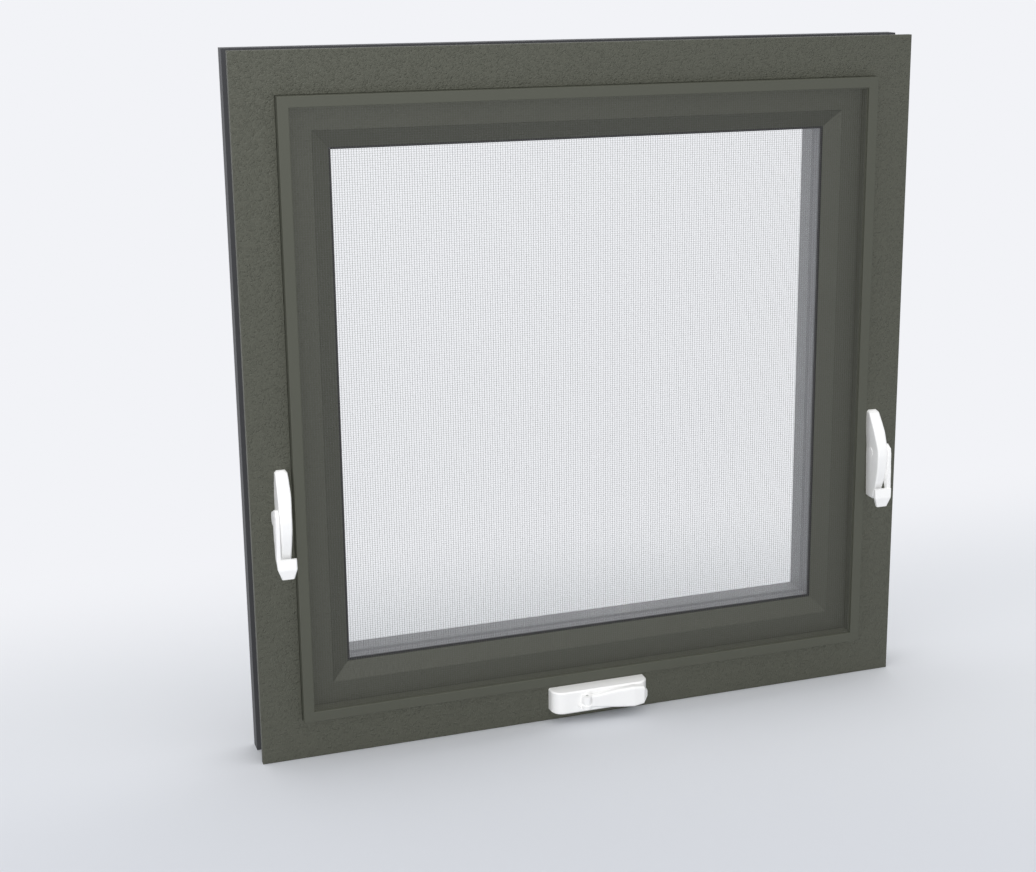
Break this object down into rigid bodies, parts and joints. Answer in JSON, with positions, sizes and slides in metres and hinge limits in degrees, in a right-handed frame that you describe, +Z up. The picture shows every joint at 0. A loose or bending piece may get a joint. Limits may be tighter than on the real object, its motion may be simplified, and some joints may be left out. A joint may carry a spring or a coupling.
{
  "type": "awning window",
  "caption": "Square awning window with a wide frame, insect screen, outward-opening sash, sealed glass, side locks and a folding crank on the sill.",
  "frame": {"origin": "underside of the sill, at the middle of the window's width and of the outer foot that it stands on", "axes": "+Z up, +Y towards the outdoors, +X to the right seen from the room"},
  "size_m": [0.914, 0.1136, 0.914],
  "materials": {
    "frame_finish": "fine orange-peel texture, dark olive bronze",
    "sash_finish": "smooth satin, dark olive bronze",
    "screen_frame_finish": "smooth satin, dark olive bronze",
    "cladding_finish": "satin, dark blue grey",
    "sash_cladding_finish": "satin, mid grey",
    "screen_mesh": "dark woven wire",
    "glass": "clear, polished",
    "spacer_bar": "matt grey",
    "seal_rubber": "matt black",
    "white_hardware": "smooth satin white",
    "pin_steel": "plain steel"
  },
  "bodies": {
    "window": {"frame_sill": "frame_finish", "frame_head": "frame_finish", "frame_jamb_left": "frame_finish", "frame_jamb_right": "frame_finish", "sash_rail_bottom": "sash_finish", "sash_rail_top": "sash_finish", "sash_stile_left": "sash_finish", "sash_stile_right": "sash_finish", "bead_bottom": "sash_finish", "bead_top": "sash_finish", "bead_left": "sash_finish", "bead_right": "sash_finish", "screen_rail_bottom": "screen_frame_finish", "screen_rail_top": "screen_frame_finish", "screen_stile_left": "screen_frame_finish", "screen_stile_right": "screen_frame_finish", "cladding_sill": "cladding_finish", "cladding_head": "cladding_finish", "cladding_jamb_left": "cladding_finish", "cladding_jamb_right": "cladding_finish", "sash_cladding_rail_bottom": "sash_cladding_finish", "sash_cladding_rail_top": "sash_cladding_finish", "sash_cladding_stile_left": "sash_cladding_finish", "sash_cladding_stile_right": "sash_cladding_finish", "insect_screen": "screen_mesh", "glass_inner": "glass", "glass_outer": "glass", "glass_spacer": "spacer_bar", "seal_inner": "seal_rubber", "seal_outer": "seal_rubber", "weatherstrip": "seal_rubber", "lock_left_housing": "white_hardware", "lock_left_pin": "white_hardware", "lock_right_housing": "white_hardware", "lock_right_pin": "white_hardware", "crank_cover": "white_hardware", "crank_hub": "white_hardware", "crank_hinge_pin": "pin_steel"},
    "lock_left": {"lock_left_lever": "white_hardware"},
    "lock_right": {"lock_right_lever": "white_hardware"},
    "crank_arm": {"crank_handle": "white_hardware"}
  },
  "joints": [
    {"name": "lock_left_swing", "type": "hinge", "parent": "window", "child": "lock_left", "pos_m": [-0.4187, -0.068, 0.337], "axis": [-1, 0, 0], "range_deg": [0, 70]},
    {"name": "lock_right_swing", "type": "hinge", "parent": "window", "child": "lock_right", "pos_m": [0.4187, -0.068, 0.337], "axis": [-1, 0, 0], "range_deg": [0, 70]},
    {"name": "crank_fold", "type": "hinge", "parent": "window", "child": "crank_arm", "pos_m": [-0.02, -0.085, 0.032], "axis": [0, 0, -1], "range_deg": [0, 110]}
  ]
}
